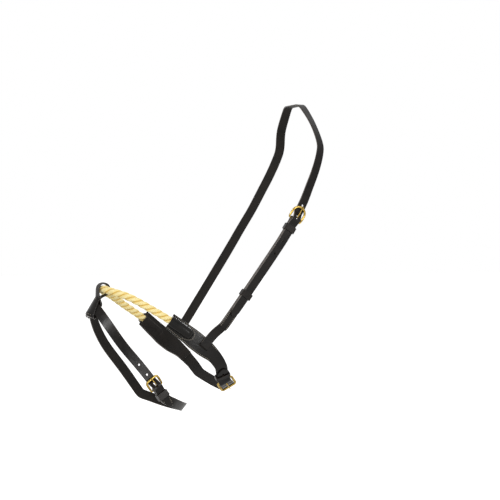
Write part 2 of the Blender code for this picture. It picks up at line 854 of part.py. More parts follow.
def make_flash_strap():
    round_once = flash_bar + flash_ring.length
    stops = [
        (round_once + 36.0, flash.after),
        *flash.billet(round_once, -1),
        (round_once - flash.reach - 17, 0.0),
        (flash_bar + 48, 0.0),
        (flash_bar + 34, FLASH_THICK + GAP),
    ]
    lay = flash.fold(flash_bar, -1, stops, [Vector((flash_bar + 30, FLASH_THICK))])
    holes = [flash.tongue_hole(lay, round_once, -1)]
    holes += [round_hole(lay, round_once + away, FLASH_THICK) for away in (-43, -24, 15)]
    strip(
        "flash_strap",
        "black_leather",
        flash_ring,
        lay,
        FLASH_WIDE,
        FLASH_THICK,
        shape=pointed(lay.length, 10.0, 1),
        rows=point_rows(lay.length, 10.0, 1),
        cutters=[flash.eye_slot(lay, flash_bar, -1), *holes],
    )


def make_flash_loop():
    """One strip: up behind the rope, over it and down in front, with the flash strap between its plies."""
    start = 30.0
    centre = ring.point(0, 0, ROPE_AXIS)
    route = Route(straight_stops(centre, LOOP_DOWN, (-start, 0, 60), LOOP_OUT))

    route.sag = lambda run, across: across * across / (2 * LOOP_BEND)
    behind = [(46, -3.3), (41.5, -5.2), (22.5, -5.2), (16, -0.15), (0, -LOOP_EYE)]
    front = [(0, LOOP_EYE), (16, 0.15), (22.5, -0.9), (41.5, -0.9), (46, -3.0)]
    turn = arc((0, 0), LOOP_EYE, 270, 90, 12)
    points = level_ramps(behind)[:-1] + turn + level_ramps(front)[1:]
    lay = Track([point + Vector((start, 0)) for point in points])
    middle = lay.length / 2

    def shape(run, across, height):
        half = between(((11.0, 5.2), (middle, 14.0)), abs(run - middle))[0]
        return across * half / 14.0, height

    strip(
        "flash_loop",
        "black_leather",
        route,
        lay,
        28.0,
        LOOP_THICK,
        shape=shape,
        columns=both_sides([0.0, 5.0, 9.5]),
        columns_end=lay.length,
    )


def start_scene():
    for made in list(bpy.data.objects):
        bpy.data.objects.remove(made)
    noseband = bpy.data.collections.new("noseband")
    cutting = bpy.data.collections.new("cutting")
    bpy.context.scene.collection.children.link(noseband)
    bpy.context.scene.collection.children.link(cutting)
    return noseband, cutting


noseband, cutting = start_scene()
finishes = {name: make_finish(name) for name in FINISHES}

chin = Buckle(1.4, 1.0, 12.0, 22.0, 18.0, False, SIDE_THICK, SIDE_THICK, 2 * SIDE_HALF / JAW_WIDE)
cheek = Buckle(1.3, 0.9, 10.4, 21.4, 11.5, True, CHEEK_THICK, CROWN_THICK)
flash = Buckle(1.3, 0.9, 10.4, 15.6, 12.0, False, FLASH_THICK, FLASH_THICK)

ring = ring_route(NOSE_STOPS)
off_ring = ring_route(off_side(NOSE_STOPS))
flash_ring = ring_route(FLASH_STOPS)
mouth = ring.nearest(Vector(NOSE_STOPS[MOUTH_STOP][0]))
chin_bar = ring.nearest(Vector(CHIN_BAR))
flash_bar = flash_ring.nearest(Vector(FLASH_BAR))
head = head_route(ring, mouth)
cheek_bar = head.nearest(Vector(CHEEK_BAR))

make_near_side_leather()
make_off_side_leather()
make_lining("near_lining", ring, 1)
make_lining("off_lining", off_ring, -1)
make_rope()
make_near_cheekpiece()
make_crown_strap()
make_flash_strap()
make_flash_loop()
chin.make("chin", ring, chin_bar, 1)
cheek.make("cheek", head, cheek_bar, 1)
flash.make("flash", flash_ring, flash_bar, -1)
over_billet = cheek.after + CROWN_THICK + 0.4
keeper("cheek_keeper", head, cheek_bar - CHEEK_KEEPER_BEFORE, CHEEK_WIDE + 0.8, over_billet, CHEEK_KEEPER_LONG)
keeper("cheek_runner", head, CHEEK_RUNNER_AT, CHEEK_WIDE + 0.8, over_billet, CHEEK_KEEPER_LONG)
keeper("chin_keeper", ring, chin_bar - CHIN_KEEPER_BEFORE, JAW_WIDE + 1.6, chin.after + SIDE_THICK + 0.7, 6.0)
over_fold = flash.after + FLASH_THICK + 0.5
keeper("flash_keeper", flash_ring, flash_bar + 14.6, FLASH_WIDE + 1.2, over_fold, 9.4)
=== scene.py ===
# %% [markdown]
# # A rope-fronted noseband
# This noseband has a laid rope over the nose, sewn into two leather sleeves. A strap over the poll carries it, the
# sleeves' own straps buckle under the jaw, and a thin flash strap hangs in a loop from the rope.
# The imported frame gives every strap its place. This script gives each piece its finished skin: burnished rims
# with a painted highlight, stitching with a painted sheen, the rope's strands with painted shade in their valleys,
# and polished brass.

# %% The frame
import math
from bisect import bisect_right

import bmesh
import bpy
from mathutils import Matrix, Vector
from mathutils.geometry import interpolate_bezier
from mathutils.kdtree import KDTree


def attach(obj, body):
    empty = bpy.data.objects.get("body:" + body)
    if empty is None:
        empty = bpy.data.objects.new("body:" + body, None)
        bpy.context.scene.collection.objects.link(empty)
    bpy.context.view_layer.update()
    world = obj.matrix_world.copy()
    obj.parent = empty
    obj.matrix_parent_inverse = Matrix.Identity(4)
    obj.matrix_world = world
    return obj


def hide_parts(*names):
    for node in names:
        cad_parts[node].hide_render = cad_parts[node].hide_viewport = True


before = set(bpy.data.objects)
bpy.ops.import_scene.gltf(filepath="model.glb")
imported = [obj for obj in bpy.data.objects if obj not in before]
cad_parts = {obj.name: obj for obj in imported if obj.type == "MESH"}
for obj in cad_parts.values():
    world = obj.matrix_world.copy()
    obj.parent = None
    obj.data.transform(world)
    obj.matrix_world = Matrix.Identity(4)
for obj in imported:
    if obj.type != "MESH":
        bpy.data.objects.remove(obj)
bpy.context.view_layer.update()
MM = 0.001

# %% [markdown]
# The photograph looks at the near side from a little in front, at the height of the cheek, with a long lens from
# far away. The camera is placed from those facts: where it looks, how far off it stands and how wide the picture is.

# %% Camera
AIM = Vector((-77.0, 0.0, -224.8)) * MM
CAMERA_TURN = math.radians(-25)
CAMERA_AWAY = 2.4
PICTURE_WIDE = 0.775
SENSOR = 36.0

backwards = Vector((math.sin(CAMERA_TURN), -math.cos(CAMERA_TURN), 0.0))
lens = bpy.data.cameras.new("studio_camera")
lens.sensor_width = SENSOR
lens.lens = SENSOR * CAMERA_AWAY / PICTURE_WIDE
lens.clip_end = 30.0
camera = bpy.data.objects.new("studio_camera", lens)
camera.location = AIM + backwards * CAMERA_AWAY
camera.rotation_euler = backwards.to_track_quat("Z", "Y").to_euler()
bpy.context.scene.collection.objects.link(camera)
bpy.context.scene.camera = camera
print("lens", round(lens.lens, 1), "mm")


# %% [markdown]
# Materials are made of nodes. One small function adds a node with its settings and its links, and another turns
# the hex colours that a maker would note down into the linear values that Blender computes with.

# %% Nodes and colours
def paint(code):
    """A hex colour as a linear RGBA value."""
    parts = [int(code[i : i + 2], 16) / 255 for i in (1, 3, 5)]
    return (*[c / 12.92 if c <= 0.04045 else ((c + 0.055) / 1.055) ** 2.4 for c in parts], 1.0)


def add(tree, kind, links=(), **settings):
    """Adds a node. A setting names a socket or a property, and a link joins a socket to another node's output."""
    node = tree.nodes.new(kind)
    for name, value in settings.items():
        if hasattr(node, name):
            setattr(node, name, value)
    for name, value in settings.items():
        if not hasattr(node, name):
            node.inputs[name.replace("_", " ")].default_value = value
    for socket, output in dict(links).items():
        tree.links.new(output, node.inputs[socket])
    return node


def finish_named(name):
    """A new material with its Principled shader."""
    made = bpy.data.materials.new(name)
    made.use_nodes = True
    return made, made.node_tree, made.node_tree.nodes["Principled BSDF"]


def ramp(tree, share, stops):
    """A colour ramp through stops of place and hex colour."""
    node = add(tree, "ShaderNodeValToRGB", {"Fac": share})
    while len(node.color_ramp.elements) < len(stops):
        node.color_ramp.elements.new(0.5)
    for element, (place, code) in zip(node.color_ramp.elements, stops):
        element.position = place
        element.color = paint(code)
    return node.outputs["Color"]


# %% [markdown]
# Bridle leather is cow hide, tanned with bark, drum-dyed black, greased and glazed. To the eye it is near black
# with brown in it, it has fine pores, and its glazed grain gives soft, slightly broken highlights.
# The pores are about 0.5 mm apart on the hide. They are drawn 0.9 mm apart, so that they show at all. Grease in the
# grain takes away much of its mirror, so the specular level is low, and a thin coat stands for the glaze. The hide's
# flesh side and the soft lining have no glaze, so they are matt and a little lighter.

# %% Bridle leather
PORE_APART = 0.9
PORE_DEEP = 0.12
BLOTCH_WIDE = 14.0
RIPPLE_WIDE = 5.0
RIPPLE_HIGH = 0.5
LEATHER_IOR = 1.45
GREASED = 0.16
GLAZE_ROUGH = 0.2


def leather(name, dark, light, gloss, pores, coat):
    """Glazed or matt leather, from its two colours, its mean roughness and how deep its pores are."""
    made, tree, shader = finish_named(name)
    place = add(tree, "ShaderNodeTexCoord").outputs["Object"]
    blotch = add(
        tree,
        "ShaderNodeTexNoise",
        {"Vector": place},
        Scale=1 / (BLOTCH_WIDE * MM),
        Detail=4.0,
        Roughness=0.6,
    ).outputs["Fac"]
    tree.links.new(ramp(tree, blotch, [(0.35, dark), (0.7, light)]), shader.inputs["Base Color"])
    rubbed = add(
        tree,
        "ShaderNodeMapRange",
        {"Value": blotch},
        From_Min=0.3,
        From_Max=0.7,
        To_Min=gloss - 0.06,
        To_Max=gloss + 0.08,
    )
    tree.links.new(rubbed.outputs["Result"], shader.inputs["Roughness"])
    ripple = add(tree, "ShaderNodeTexNoise", {"Vector": place}, Scale=1 / (RIPPLE_WIDE * MM), Detail=3.0)
    pore = add(tree, "ShaderNodeTexVoronoi", {"Vector": place}, Scale=1 / (PORE_APART * MM))
    waved = add(tree, "ShaderNodeBump", {"Height": ripple.outputs["Fac"]}, Strength=0.35, Distance=RIPPLE_HIGH * MM)
    grain = add(
        tree,
        "ShaderNodeBump",
        {"Height": pore.outputs["Distance"], "Normal": waved.outputs["Normal"]},
        Strength=pores,
        Distance=PORE_DEEP * MM,
    )
    tree.links.new(grain.outputs["Normal"], shader.inputs["Normal"])
    shader.inputs["IOR"].default_value = LEATHER_IOR
    shader.inputs["Specular IOR Level"].default_value = GREASED
    shader.inputs["Coat Weight"].default_value = coat
    shader.inputs["Coat Roughness"].default_value = GLAZE_ROUGH
    return made


strap_leather = leather("glazed_bridle_leather", "#0d0b0a", "#191512", 0.29, 0.15, 0.03)
side_leather = leather("glazed_side_leather", "#0b0a09", "#151210", 0.27, 0.15, 0.06)
keeper_leather = leather("pressed_keeper_leather", "#100e0d", "#201b18", 0.3, 0.15, 0.02)
lining_leather = leather("soft_lining_leather", "#151311", "#23201d", 0.62, 0.6, 0.0)
flesh_side = leather("slicked_flesh_side", "#12100e", "#1f1b18", 0.58, 0.6, 0.0)
print("leathers", strap_leather.name, side_leather.name, keeper_leather.name, lining_leather.name, flesh_side.name)

# %% [markdown]
# A cut rim of leather shows its fibres, so the saddler dyes it, waxes it and rubs it with a bone until it shines.
# It comes out smoother than the grain side and a little browner. Its colour here is also lighter than that, as a
# painted highlight along the rims. The keepers' rims are pressed and stay darker.

# %% Burnished rim
RIM_FIBRE = 2.5


def rim_finish(name, dark, light):
    """A waxed and rubbed rim, from its two colours, lighter than the grain partly as a painted highlight."""
    made, tree, shader = finish_named(name)
    place = add(tree, "ShaderNodeTexCoord").outputs["Object"]
    fibre = add(tree, "ShaderNodeTexNoise", {"Vector": place}, Scale=1 / (RIM_FIBRE * MM), Detail=5.0, Roughness=0.65)
    tree.links.new(ramp(tree, fibre.outputs["Fac"], [(0.35, dark), (0.65, light)]), shader.inputs["Base Color"])
    rubbed = add(tree, "ShaderNodeMapRange", {"Value": fibre.outputs["Fac"]}, To_Min=0.18, To_Max=0.34)
    tree.links.new(rubbed.outputs["Result"], shader.inputs["Roughness"])
    shader.inputs["Specular IOR Level"].default_value = 0.5
    rough = add(tree, "ShaderNodeBump", {"Height": fibre.outputs["Fac"]}, Strength=0.3, Distance=0.15 * MM)
    tree.links.new(rough.outputs["Normal"], shader.inputs["Normal"])
    return made


# Both rim colours are lighter than the grain, partly as a painted highlight along the rims.
burnished_rim_and_highlight = rim_finish("burnished_rim_and_highlight", "#2a241f", "#544a40")
pressed_rim_and_highlight = rim_finish("pressed_rim_and_highlight", "#1d1916", "#352e28")
print("rims", burnished_rim_and_highlight.name, pressed_rim_and_highlight.name)

# %% [markdown]
# The thread is black linen, waxed with beeswax, so each stitch is a small round cord with a soft shine. Its colour
# is painted grey, as a painted sheen for that shine, so that it stands out against the leather. Its plies are 0.8 mm
# long between their turns.

# %% Waxed thread
PLY_LONG = 0.8


def thread_finish(name):
    """Waxed linen with the turns of its plies, painted grey as a painted sheen."""
    made, tree, shader = finish_named(name)
    place = add(tree, "ShaderNodeTexCoord").outputs["Object"]
    ply = add(tree, "ShaderNodeTexNoise", {"Vector": place}, Scale=1 / (PLY_LONG * MM), Detail=2.0)
    # The grey of the black thread is a painted sheen.
    tree.links.new(ramp(tree, ply.outputs["Fac"], [(0.3, "#6b655b"), (0.7, "#9a9283")]), shader.inputs["Base Color"])
    twist = add(tree, "ShaderNodeBump", {"Height": ply.outputs["Fac"]}, Strength=0.4, Distance=0.1 * MM)
    tree.links.new(twist.outputs["Normal"], shader.inputs["Normal"])
    shader.inputs["Roughness"].default_value = 0.6
    shader.inputs["Specular IOR Level"].default_value = 0.2
    return made


thread_with_painted_sheen = thread_finish("waxed_linen_thread_painted_sheen")
print("thread", thread_with_painted_sheen.name)

# %% [markdown]
# The buckles are cast and polished brass. Polishing leaves fine scratches, and the metal darkens to amber where a
# finger doesn't reach. A metal keeps the shader's own IOR, and its colour is its reflection. Real scratches are
# finer than the render can show, so they are drawn 0.9 mm wide.

# %% Polished brass
TARNISH_WIDE = 6.0
SCRATCH_WIDE = 0.9


def brass_finish(name):
    """Polished brass, tarnished in patches and scratched all over."""
    made, tree, shader = finish_named(name)
    place = add(tree, "ShaderNodeTexCoord").outputs["Object"]
    tarnish = add(tree, "ShaderNodeTexNoise", {"Vector": place}, Scale=1 / (TARNISH_WIDE * MM), Detail=3.0)
    amber = ramp(tree, tarnish.outputs["Fac"], [(0.35, "#7b6226"), (0.6, "#b0954e")])
    tree.links.new(amber, shader.inputs["Base Color"])
    scratch = add(tree, "ShaderNodeTexNoise", {"Vector": place}, Scale=1 / (SCRATCH_WIDE * MM), Detail=2.0)
    worn = add(tree, "ShaderNodeMapRange", {"Value": scratch.outputs["Fac"]}, To_Min=0.16, To_Max=0.34)
    tree.links.new(worn.outputs["Result"], shader.inputs["Roughness"])
    dent = add(tree, "ShaderNodeBump", {"Height": scratch.outputs["Fac"]}, Strength=0.15, Distance=0.1 * MM)
    tree.links.new(dent.outputs["Normal"], shader.inputs["Normal"])
    shader.inputs["Metallic"].default_value = 1.0
    return made


polished_brass = brass_finish("polished_brass")
print("metal", polished_brass.name)

# %% [markdown]
# The rope is cream cotton. Cotton has no shine: its fibres scatter the light. The valleys between the strands are
# painted a deeper yellow than their crowns, as painted shade for the light that has met the fibres twice there. Its
# fibres are drawn 0.5 mm wide and 5 mm long, which is coarser than cotton, so that they show.

# %% Cream cotton
FIBRE_LONG = 5.0
FIBRE_WIDE = 0.5
MOTTLE_WIDE = 3.0


def cotton_finish(name):
    """Cotton with fibres along the strand, read from the strand's own map, and painted shade in its valleys."""
    made, tree, shader = finish_named(name)
    valley = add(tree, "ShaderNodeAttribute", attribute_name="valley").outputs["Fac"]
    place = add(tree, "ShaderNodeTexCoord").outputs["Object"]
    mottled = add(tree, "ShaderNodeTexNoise", {"Vector": place}, Scale=1 / (MOTTLE_WIDE * MM), Detail=3.0)
    crown = ramp(tree, mottled.outputs["Fac"], [(0.3, "#eedd9c"), (0.7, "#f3e5b0")])
    # Painted shade: the valleys between the strands and between the yarns are coloured darker.
    painted_valley_shade = ramp(tree, valley, [(0.0, "#ffffff"), (0.45, "#fff8e6"), (0.8, "#f0dca4"), (1.0, "#d2b068")])
    mixed = add(tree, "ShaderNodeMix", data_type="RGBA", blend_type="MULTIPLY")
    mixed.inputs["Factor"].default_value = 1.0
    tree.links.new(crown, mixed.inputs["A"])
    tree.links.new(painted_valley_shade, mixed.inputs["B"])
    tree.links.new(mixed.outputs["Result"], shader.inputs["Base Color"])
    drawn = add(tree, "ShaderNodeAttribute", attribute_name="drawn").outputs["Vector"]
    fibre = add(tree, "ShaderNodeTexNoise", {"Vector": drawn}, Scale=1.0, Detail=3.0, Roughness=0.6)
    fluff = add(tree, "ShaderNodeBump", {"Height": fibre.outputs["Fac"]}, Strength=0.8, Distance=0.3 * MM)
    tree.links.new(fluff.outputs["Normal"], shader.inputs["Normal"])
    shader.inputs["Roughness"].default_value = 0.85
    shader.inputs["Sheen Weight"].default_value = 0.15
    return made


cream_cotton = cotton_finish("cream_cotton_rope")
print("cotton", cream_cotton.name)

# %% [markdown]
# Most pieces start from the frame's own solid, because that is bent to its place already, with its holes and
# folds. A solid comes in as loose triangles with square rims. A working copy is merged into one skin, and its
# triangle pairs become four-sided faces, which bevel and subdivide cleanly.

# %% Working copies
SAME_POINT = 0.002 * MM


def pick(piece):
    """Makes one object the only one that operators act on."""
    bpy.ops.object.select_all(action="DESELECT")
    piece.select_set(True)
    bpy.context.view_layer.objects.active = piece


def working_copy(node, name, finishes):
    """A merged copy of a node's solid, which takes the node's place."""
    piece = bpy.data.objects.new(name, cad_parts[node].data.copy())
    bpy.context.scene.collection.objects.link(piece)
    piece.data.materials.clear()
    for finish in finishes:
        piece.data.materials.append(finish)
    pick(piece)
    bpy.ops.mesh.customdata_custom_splitnormals_clear()
    bpy.ops.object.mode_set(mode="EDIT")
    bpy.ops.mesh.select_all(action="SELECT")
    bpy.ops.mesh.remove_doubles(threshold=SAME_POINT)
    bpy.ops.mesh.tris_convert_to_quads(face_threshold=math.radians(30), shape_threshold=math.radians(60))
    bpy.ops.mesh.select_all(action="DESELECT")
    bpy.ops.object.mode_set(mode="OBJECT")
    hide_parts(node)
    return piece


# %% [markdown]
# A rim is a wall about as high as the hide is thick, with a sharp edge along both sides, and it faces neither into
# the noseband nor straight out of it. That is enough to find the rims and give them their own finish.
# The subdivision would round the sharp edges away, so a crease holds them. A bevel then rounds them by as much as the
# saddler shaves off.

# %% Rims
SHARP = math.radians(35)
POLL = Vector((0.0, 0.0, -60.0)) * MM
MUZZLE = Vector((-270.0, 0.0, -380.0)) * MM
WALL_HIGH = 2.7 * MM
WALL_TILT = 0.6
RIM_STEPS = 3


def inwards(face):
    """How much a face looks into the noseband, towards the line from under its poll strap down through its ring."""
    down = MUZZLE - POLL
    share = min(max((face.center - POLL).dot(down) / down.length_squared, 0.0), 1.0)
    return face.normal.dot((POLL + down * share - face.center).normalized())


def mark_rims(piece):
    """Gives the narrow walls between two square rims the second finish."""
    mesh = bmesh.new()
    mesh.from_mesh(piece.data)
    walls = []
    for face in mesh.faces:
        rims = [edge.calc_length() for edge in face.edges if edge.calc_face_angle(0.0) > SHARP]
        mostly_rim = sum(rims) > face.calc_perimeter() / 2
        if len(rims) > 1 and mostly_rim and face.calc_area() / max(rims) < WALL_HIGH:
            walls.append(face.index)
    mesh.free()
    for index in walls:
        face = piece.data.polygons[index]
        if abs(inwards(face)) < WALL_TILT:
            face.material_index = 1


def hold_rims(piece):
    """Creases the sharp rims, so that they stay where they are when the skin is subdivided."""
    pick(piece)
    bpy.ops.object.mode_set(mode="EDIT")
    bpy.ops.mesh.select_mode(type="EDGE")
    bpy.ops.mesh.edges_select_sharp(sharpness=SHARP)
    bpy.ops.transform.edge_crease(value=1.0)
    bpy.ops.mesh.select_all(action="DESELECT")
    bpy.ops.object.mode_set(mode="OBJECT")


def subdivided(piece, levels):
    """Subdivides a skin for good, which smooths its bends."""
    pick(piece)
    smoother = piece.modifiers.new("smoother", "SUBSURF")
    smoother.levels = levels
    smoother.render_levels = levels
    bpy.ops.object.modifier_apply(modifier=smoother.name)


def round_rims(piece, wide):
    """Rounds every rim that is still sharp, as an edge shave does. The new faces take the rim's finish."""
    pick(piece)
    bpy.ops.object.mode_set(mode="EDIT")
    bpy.ops.mesh.select_mode(type="EDGE")
    bpy.ops.mesh.edges_select_sharp(sharpness=SHARP)
    bpy.ops.mesh.bevel(offset=wide, segments=RIM_STEPS, affect="EDGES", clamp_overlap=True, material=1)
    bpy.ops.mesh.select_all(action="DESELECT")
    bpy.ops.object.mode_set(mode="OBJECT")


# %% [markdown]
# Smooth shading blends the directions of the faces at each corner. Round a punched hole the faces are long and thin,
# and their corners would show as darts of light on the glaze. So the direction at a corner of a broad face is the
# mean of all the faces like it that lie near, which is how even a pressed hide really is.

# %% Shading
EVEN_REACH = 10.0
ALIKE = 0.95
NEARLY_NONE = 1e-9


def shaded_smooth(piece):
    """Smooth shading all over, with no hard edges left."""
    pick(piece)
    bpy.ops.object.shade_smooth()
    for edge in piece.data.edges:
        edge.use_edge_sharp = False


def evened(piece):
    """Gives each corner of the broad faces the mean direction of the like faces round it."""
    skin = piece.data
    broad = [face for face in skin.polygons if face.material_index != 1]
    nearby = KDTree(len(broad))
    facing = {}
    for i, face in enumerate(broad):
        nearby.insert(face.center, i)
        for corner in face.vertices:
            facing[corner] = facing.get(corner, Vector()) + face.normal * face.area
    nearby.balance()
    normals = [corner.normal.copy() for corner in skin.vertices]
    for corner, own in facing.items():
        around = [broad[i] for _, i, _ in nearby.find_range(skin.vertices[corner].co, EVEN_REACH * MM)]
        own.normalize()
        alike = own * NEARLY_NONE
        for face in around:
            if face.normal.dot(own) > ALIKE:
                alike = alike + face.normal * face.area
        normals[corner] = alike.normalized()
    skin.normals_split_custom_set_from_vertices(normals)


def report(piece):
    """Prints how large a finished skin is."""
    print(piece.name, len(piece.data.polygons), "faces")


# %% [markdown]
# Before the straps are dressed, the lines that they follow are needed again, to lay stitches and the rope along
# them. Each line goes through a few stops, and each stop says where it is and which way is outwards there.

# %% Lines
NOSE_STOPS = [
    ((-314.0, 0.0, -286.3), (-0.76, 0.0, 0.65)),
    ((-307.7, -13.7, -289.2), (-0.67, -0.43, 0.61)),
    ((-288.6, -31.6, -296.4), (-0.42, -0.80, 0.42)),
    ((-263.2, -43.7, -310.9), (-0.20, -0.96, 0.20)),
    ((-232.5, -51.6, -329.5), (-0.12, -0.99, 0.10)),
    ((-204.4, -60.0, -350.6), (-0.08, -1.00, 0.04)),
    ((-183.8, -63.5, -368.3), (-0.04, -1.00, -0.02)),
    ((-165.5, -61.5, -383.0), (0.02, -0.99, -0.12)),
    ((-151.2, -54.8, -399.8), (0.10, -0.89, -0.44)),
    ((-142.8, -41.8, -415.7), (0.14, -0.70, -0.70)),
]
SLEEVE_MOUTH = (-232.5, -51.6, -329.5)
SPAN_POINTS = 28


class Line:
    """A smooth line through stops, each a place in millimetres and the outward direction there."""

    def __init__(self, stops):
        places = [Vector(place) * MM for place, _ in stops]
        outwards = [Vector(outward).normalized() for _, outward in stops]
        slopes = [self.slope(places, i) for i in range(len(places))]
        self.points = [places[0]]
        self.outwards = [outwards[0]]
        for i in range(len(places) - 1):
            third = (places[i + 1] - places[i]).length / 3
            span = interpolate_bezier(
                places[i],
                places[i] + slopes[i] * third,
                places[i + 1] - slopes[i + 1] * third,
                places[i + 1],
                SPAN_POINTS,
            )
            self.points += span[1:]
            self.outwards += [outwards[i].lerp(outwards[i + 1], k / (SPAN_POINTS - 1)) for k in range(1, SPAN_POINTS)]
        self.runs = [0.0]
        for start, end in zip(self.points, self.points[1:]):
            self.runs.append(self.runs[-1] + (end - start).length)

    @staticmethod
    def slope(places, i):
        """The direction of the line at a stop. The nearer neighbour counts for more."""
        if i in (0, len(places) - 1):
            return (places[min(i + 1, len(places) - 1)] - places[max(i - 1, 0)]).normalized()
        into = places[i] - places[i - 1]
        out = places[i + 1] - places[i]
        return (into.normalized() * out.length + out.normalized() * into.length).normalized()

    def nearest(self, place):
        """How far along the line a place is."""
        index = min(range(len(self.points)), key=lambda i: (self.points[i] - place).length)
        return self.runs[index]

    def frame(self, run):
        """Place, and the directions along, across and outwards."""
        index = min(max(bisect_right(self.runs, run) - 1, 0), len(self.points) - 2)
        share = (run - self.runs[index]) / (self.runs[index + 1] - self.runs[index])
        place = self.points[index].lerp(self.points[index + 1], share)
        along = (self.points[index + 1] - self.points[index]).normalized()
        outward = self.outwards[index].lerp(self.outwards[index + 1], share)
        outward = (outward - along * outward.dot(along)).normalized()
        return place, along, outward.cross(along), outward


def flipped(stops):
    """The same stops on the off side."""
    return [((x, -y, z), (u, -v, w)) for (x, y, z), (u, v, w) in stops]


nose_line = Line(flipped(NOSE_STOPS)[::-1] + NOSE_STOPS[1:])
middle = nose_line.nearest(Vector(NOSE_STOPS[0][0]) * MM)
mouth = nose_line.nearest(Vector(SLEEVE_MOUTH) * MM) - middle
print("rope, from the middle to a sleeve", round(mouth / MM, 1), "mm")

# %% [markdown]
# The rope: three strands, laid round each other once in 31.5 mm. Each strand is a bundle of yarns that is twisted the
# other way, so its yarns come to lie along the rope. A curve with a bevelled section can carry the strands but not
# the yarns, which cross them, so the skin is laid ring by ring: three arcs in each ring, a little further round than
# in the last, with a ripple and a little shade for every yarn. An arc ends where it meets its neighbour's, in the
# valley. The rope goes on for 27 mm inside each sleeve.

# %% Rope
STRANDS = 3
STRAND_OUT = 1.85
STRAND_RADIUS = 3.95
STRAND_OPEN = math.radians(83.9)
CROWN = STRAND_OUT + STRAND_RADIUS
VALLEY = 4.52
LAY_LONG = 31.5
ROPE_AXIS = 5.5
ROPE_IN_SLEEVE = 27.0
YARNS = 16
YARN_HIGH = 0.12
YARN_SHADE = 0.22
RING_STEP = 1.0
ARC_POINTS = 40


def strand_points(lay):
    """Across, outwards, yarn angle and shade of each point of a ring. Its first strand stands at the angle lay."""
    for strand in range(STRANDS):
        home = lay + 2 * math.pi * strand / STRANDS
        for step in range(ARC_POINTS):
            yarn = home + STRAND_OPEN * (2 * (step + 0.5) / ARC_POINTS - 1)
            reach = STRAND_RADIUS + YARN_HIGH * math.cos(YARNS * yarn)
            x = STRAND_OUT * math.sin(home) + reach * math.sin(yarn)
            y = STRAND_OUT * math.cos(home) + reach * math.cos(yarn)
            yield x, y, yarn, YARN_SHADE * (1 - math.cos(YARNS * yarn)) / 2


def make_rope():
    """The rope's skin. It keeps how deep each point lies, for the painted shade, and where it is along its yarn, for
    the fibres.
    """
    skin = bmesh.new()
    valley = skin.verts.layers.float.new("valley")
    drawn = skin.verts.layers.float_vector.new("drawn")
    reach = mouth / MM + ROPE_IN_SLEEVE
    rings = []
    for k in range(round(2 * reach / RING_STEP) + 1):
        run = min(k * RING_STEP - reach, reach)
        place, _, across, outward = nose_line.frame(middle + run * MM)
        axis = place + outward * ROPE_AXIS * MM
        ring = []
        for x, y, yarn, shade in strand_points(2 * math.pi * run / LAY_LONG):
            point = skin.verts.new(axis + (across * x + outward * y) * MM)
            # The valley value drives the painted shade, deeper in the valleys and between the yarns.
            point[valley] = min(max((CROWN - math.hypot(x, y)) / (CROWN - VALLEY) + shade, 0.0), 1.0)
            point[drawn] = (run / FIBRE_LONG, yarn * STRAND_RADIUS / FIBRE_WIDE, 0.0)
            ring.append(point)
        rings.append(ring)
    for ring, after in zip(rings, rings[1:]):
        for j in range(len(ring)):
            skin.faces.new((ring[j - 1], ring[j], after[j], after[j - 1]))
    skin.faces.new(rings[0])
    skin.faces.new(rings[-1])
    bmesh.ops.recalc_face_normals(skin, faces=skin.faces)
    data = bpy.data.meshes.new("laid_rope")
    skin.to_mesh(data)
    skin.free()
    data.materials.append(cream_cotton)
    made = bpy.data.objects.new("laid_rope", data)
    bpy.context.scene.collection.objects.link(made)
    pick(made)
    bpy.ops.object.shade_smooth()
    return made


rope = make_rope()
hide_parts("nose_rope")
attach(rope, "noseband")
report(rope)

# %% [markdown]
# The straps. A saddler cuts each from a hide 2 mm thick, shaves its rims round and burnishes them. The solid has
# square rims, so a bevel rounds them, and its new faces take the burnished finish, as the real rims do. Its colour
# is lighter than a real rim's, as a painted highlight.
# A strap's long bends are smoothed by one subdivision. The loop and the linings go without, because they lie so close
# to other pieces that it would pull them through.
# The side that looks inwards is the hide's flesh side, slicked but not glazed, so it is matt.

# %% Straps
RIM_ROUND = 0.85
INNER_TILT = 0.35


def matt_inside(piece):
    """Gives the broad faces that look inwards the third finish."""
    for face in piece.data.polygons:
        if face.material_index == 0 and inwards(face) > INNER_TILT:
            face.material_index = 2


def strap(node, name, body, finish, levels=0):
    """A leather piece, from its node to its finished skin."""
    piece = working_copy(node, name, (finish, burnished_rim_and_highlight, flesh_side))
    mark_rims(piece)
    matt_inside(piece)
    if levels:
        hold_rims(piece)
        subdivided(piece, levels)
    round_rims(piece, RIM_ROUND * MM)
    shaded_smooth(piece)
    evened(piece)
    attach(piece, body)
    report(piece)
    return piece


crown_strap = strap("crown_strap", "crown_strap_skin", "noseband", strap_leather, 1)
cheekpiece = strap("near_cheekpiece", "cheekpiece_skin", "noseband", strap_leather, 1)
flash_strap = strap("flash_strap", "flash_strap_skin", "flash", strap_leather, 1)
flash_loop = strap("flash_loop", "flash_loop_skin", "flash", strap_leather)
near_side = strap("near_side_leather", "near_side_skin", "noseband", side_leather, 1)
off_side = strap("off_side_leather", "off_side_skin", "noseband", side_leather, 1)
strap("near_lining", "near_lining_skin", "noseband", lining_leather)
strap("off_lining", "off_lining_skin", "noseband", lining_leather)

# %% [markdown]
# Keepers and the runner are short leather bands, wetted and pressed round the straps, with a smooth outside. They
# are thinner than a strap, so their rims are rounded less.

# %% Keepers
KEEPER_ROUND = 0.4
KEEPERS = (
    ("cheek_keeper", "noseband"),
    ("cheek_runner", "runner"),
    ("chin_keeper", "noseband"),
    ("flash_keeper", "flash"),
)


def keeper(node, body):
    """A pressed band, from its node to its finished skin."""
    piece = working_copy(node, node + "_band", (keeper_leather, pressed_rim_and_highlight))
    mark_rims(piece)
    hold_rims(piece)
    subdivided(piece, 1)
    round_rims(piece, KEEPER_ROUND * MM)
    shaded_smooth(piece)
    evened(piece)
    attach(piece, body)
    report(piece)


for node, body in KEEPERS:
    keeper(node, body)

